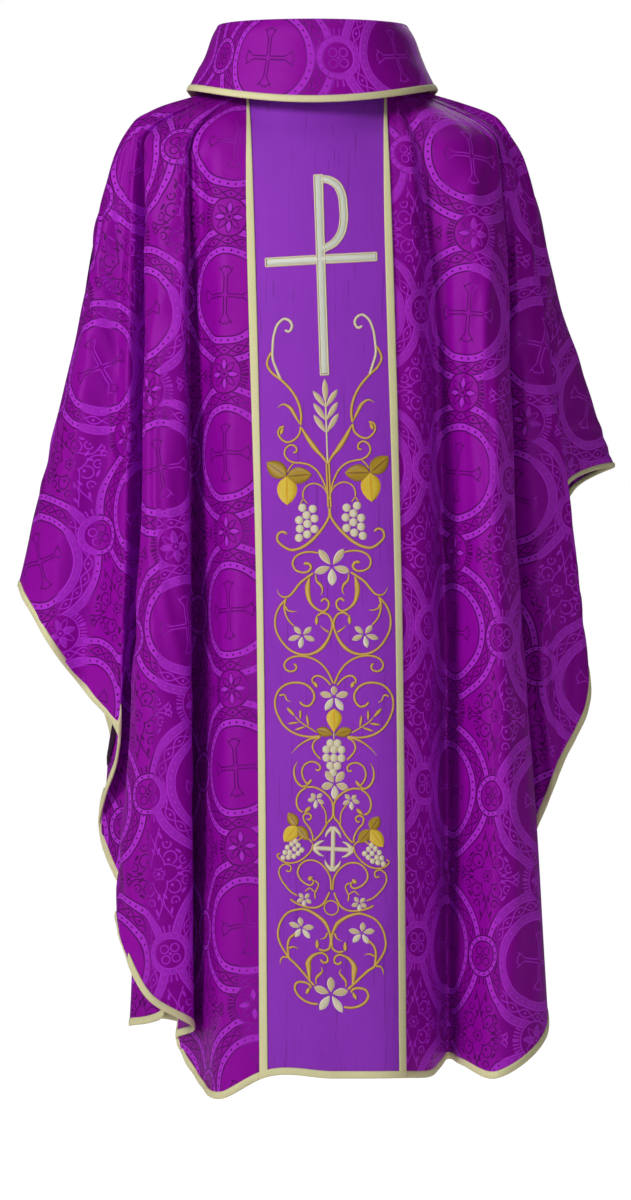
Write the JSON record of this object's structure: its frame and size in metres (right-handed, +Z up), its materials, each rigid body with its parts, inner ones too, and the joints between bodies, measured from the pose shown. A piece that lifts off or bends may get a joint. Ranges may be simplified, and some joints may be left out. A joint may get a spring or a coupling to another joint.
{
  "type": "chasuble",
  "caption": "Lined damask chasuble as worn, with a turned-down collar, a satin orphrey down back and front, gold embroidery and braid on every edge.",
  "frame": {"origin": "middle of the neck seam, level with where the shoulders carry the garment", "axes": "+Z up the wearer's neck, +Y the way the wearer faces, +X to the wearer's right"},
  "size_m": [0.7392, 0.4027, 1.3035],
  "materials": {
    "silver_thread": "woven silver-white filling with a cream stitched edge",
    "cream_thread": "satin stitch in cream thread",
    "braid": "ribbed pale gold braid",
    "gold_thread": "satin stitch in gold thread",
    "lining": "plain dark maroon lining",
    "damask": "figured damask, purple on purple, with a soft sheen",
    "orphrey_satin": "slubbed lilac satin",
    "interlining": "stiff white canvas"
  },
  "bodies": {
    "root": {"back_cross_with_bow": "silver_thread", "back_flower_foot": "cream_thread", "back_flower_foot_left": "cream_thread", "back_flower_foot_right": "cream_thread", "back_flower_side_left": "cream_thread", "back_flower_side_right": "cream_thread", "back_flower_upper": "cream_thread", "back_foot_braid": "braid", "back_galloon_left": "braid", "back_galloon_right": "braid", "back_grapes_lower_left": "cream_thread", "back_grapes_lower_right": "cream_thread", "back_grapes_middle": "cream_thread", "back_grapes_upper_left": "cream_thread", "back_grapes_upper_right": "cream_thread", "back_leaf_lower_left": "gold_thread", "back_leaf_lower_right": "gold_thread", "back_leaf_upper_left": "gold_thread", "back_leaf_upper_right": "gold_thread", "back_left_lining": "lining", "back_left_panel": "damask", "back_lower_vine": "gold_thread", "back_middle_vine": "gold_thread", "back_orphrey": "orphrey_satin", "back_right_lining": "lining", "back_right_panel": "damask", "back_small_cross": "gold_thread", "back_upper_vine": "gold_thread", "back_wheat_ear": "cream_thread", "collar_braid": "braid", "collar_fall": "damask", "collar_interlining": "interlining", "collar_stand": "damask", "front_cross_with_bow": "silver_thread", "front_foot_braid": "braid", "front_galloon_left": "braid", "front_galloon_right": "braid", "front_left_lining": "lining", "front_left_panel": "damask", "front_orphrey": "orphrey_satin", "front_right_lining": "lining", "front_right_panel": "damask", "front_small_cross": "gold_thread", "front_wheat_ear": "cream_thread", "left_hem_braid": "braid", "right_hem_braid": "braid"}
  },
  "joints": []
}
